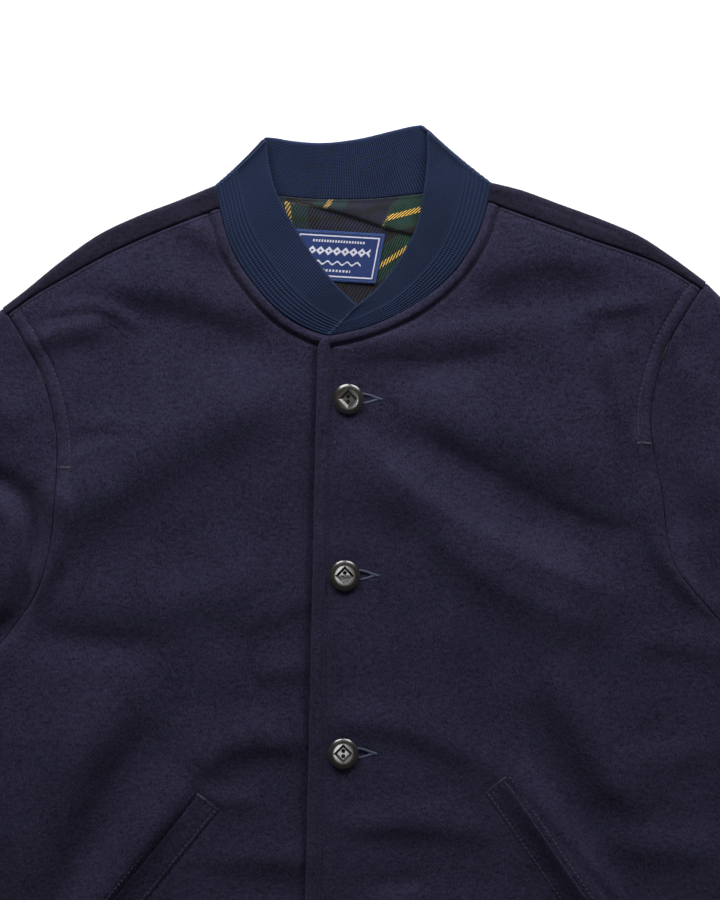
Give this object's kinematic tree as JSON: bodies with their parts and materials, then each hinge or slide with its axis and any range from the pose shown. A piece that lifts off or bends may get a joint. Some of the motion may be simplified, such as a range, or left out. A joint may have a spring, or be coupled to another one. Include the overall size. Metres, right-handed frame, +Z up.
{
  "type": "varsity jacket",
  "caption": "Button-front varsity jacket of felted wool with rib-knit stand collar, cuffs and waistband, set-in sleeves and slanted welt pockets, laid flat on its back.",
  "frame": {"origin": "on the surface that the jacket lies on, under the middle of the chest, where the straight-down mount rest_face is", "axes": "+X towards the wearer's left, across both sleeves; +Y towards the collar; +Z up, out of the surface"},
  "size_m": [1.14, 0.6841, 0.0172],
  "materials": {
    "wool": "matte felted wool, dark navy",
    "rib": "matte wool rib knit, blue",
    "tartan": "woven tartan, green, black and navy with yellow lines",
    "woven_label": "woven satin label, royal blue",
    "horn": "polished dark horn"
  },
  "bodies": {
    "root": {"back": "wool", "front_right": "wool", "front_left": "wool", "sleeve_right": "wool", "sleeve_left": "wool", "pocket_welt_right": "wool", "pocket_welt_left": "wool", "cuff_right": "rib", "cuff_left": "rib", "hem_band": "rib", "collar": "rib", "lining": "tartan", "label": "woven_label", "button_1": "horn", "button_2": "horn", "button_3": "horn", "button_4": "horn", "button_5": "horn"}
  },
  "joints": []
}
